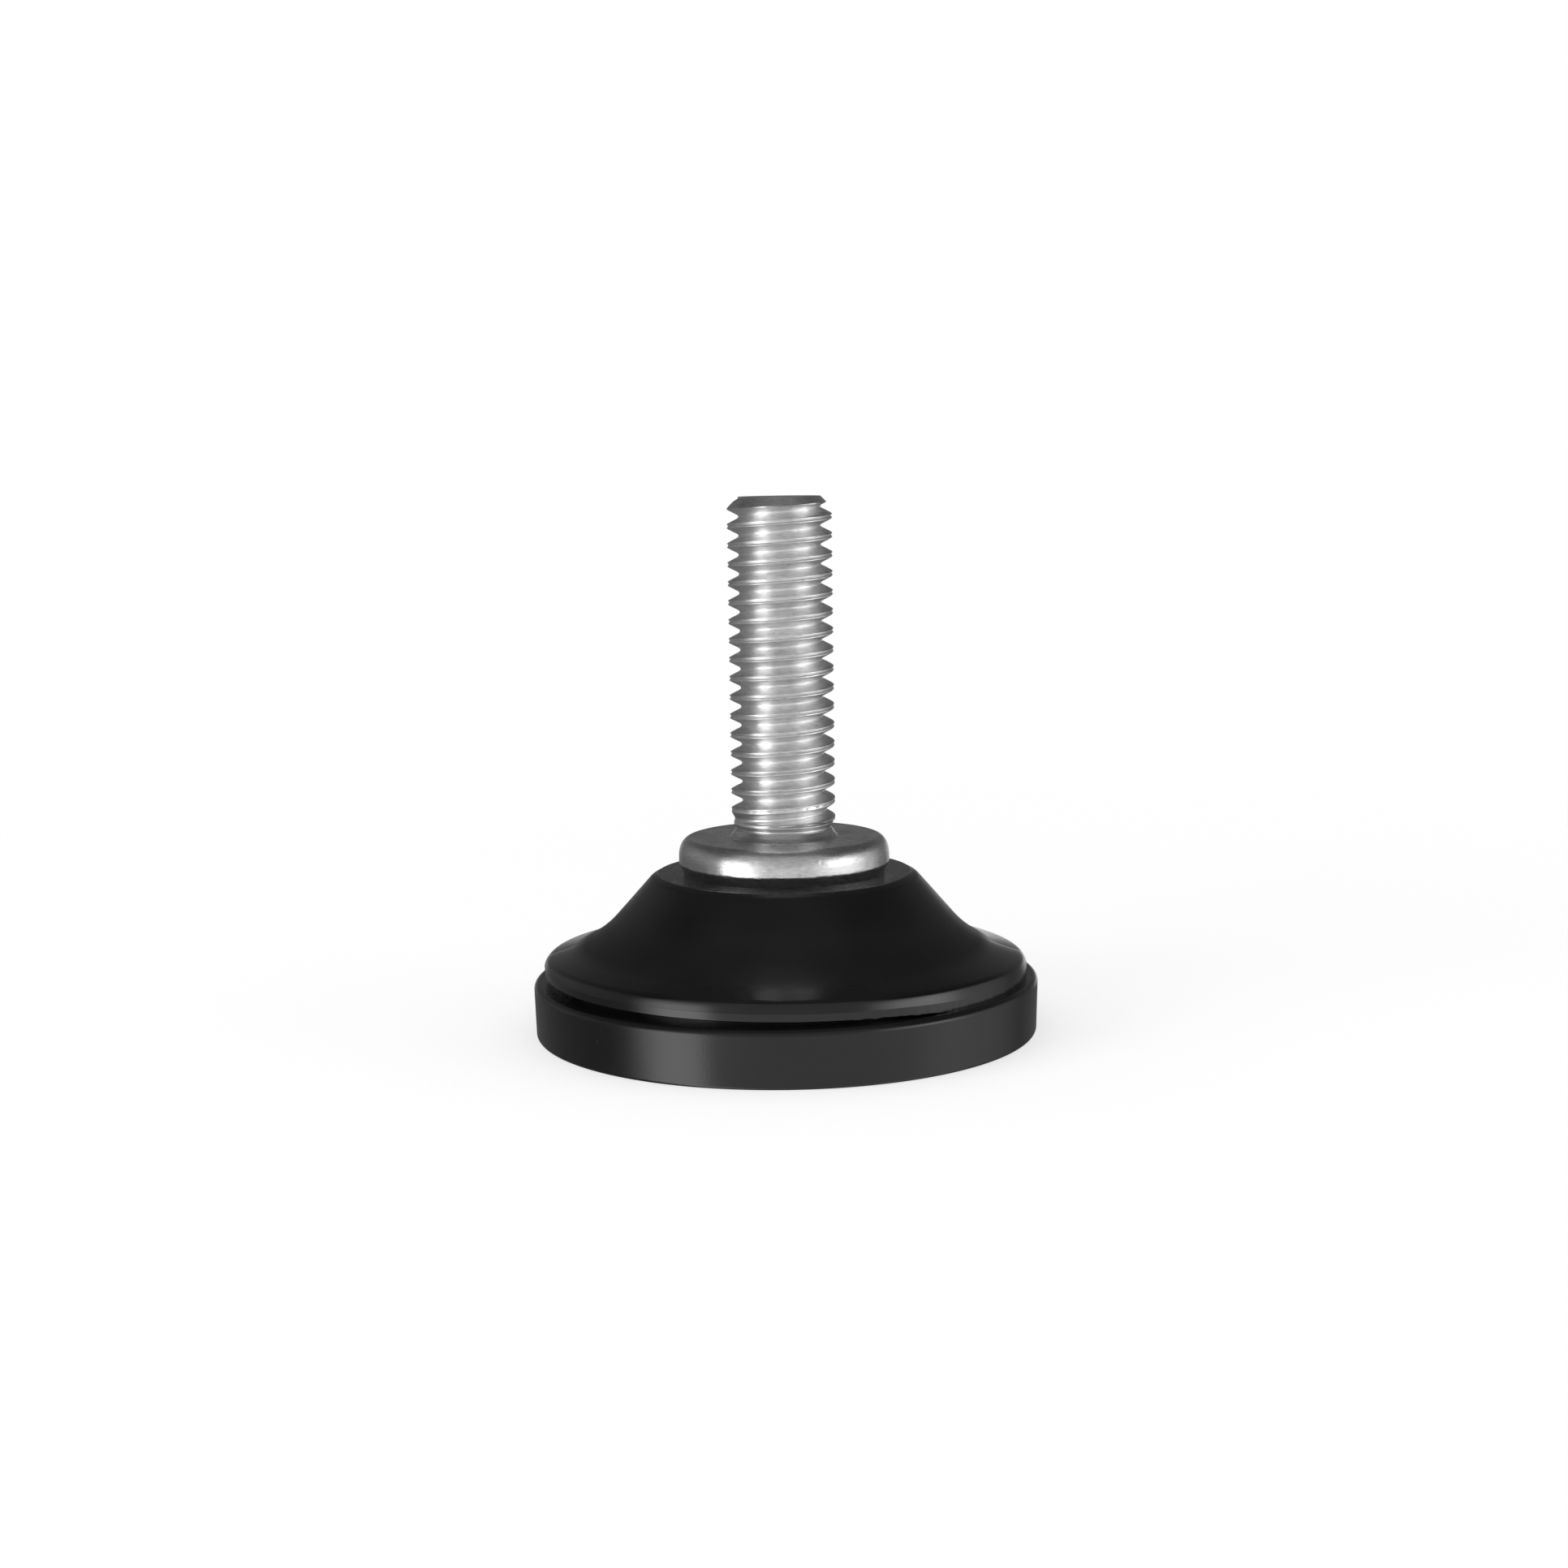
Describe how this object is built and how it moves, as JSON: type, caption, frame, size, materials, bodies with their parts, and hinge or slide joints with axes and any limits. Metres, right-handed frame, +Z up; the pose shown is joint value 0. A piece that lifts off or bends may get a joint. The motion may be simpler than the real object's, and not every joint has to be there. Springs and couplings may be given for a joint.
{
  "type": "table base glide",
  "caption": "Screw-in table base glide: a headed threaded stud moulded into a black bell-shaped housing on a round rubber pad.",
  "frame": {"origin": "centre of the pad's underside, where the glide stands on the floor", "axes": "+Z up along the stud's axis, towards the stud's tip"},
  "size_m": [0.038, 0.038, 0.0401],
  "materials": {
    "plated_steel": "bright zinc plating, satin with fine scratches",
    "housing_plastic": "black moulded plastic, semi-gloss",
    "pad_rubber": "black rubber, matt with a low sheen"
  },
  "bodies": {
    "root": {"threaded_stud": "plated_steel", "housing": "housing_plastic", "pad": "pad_rubber"}
  },
  "joints": []
}
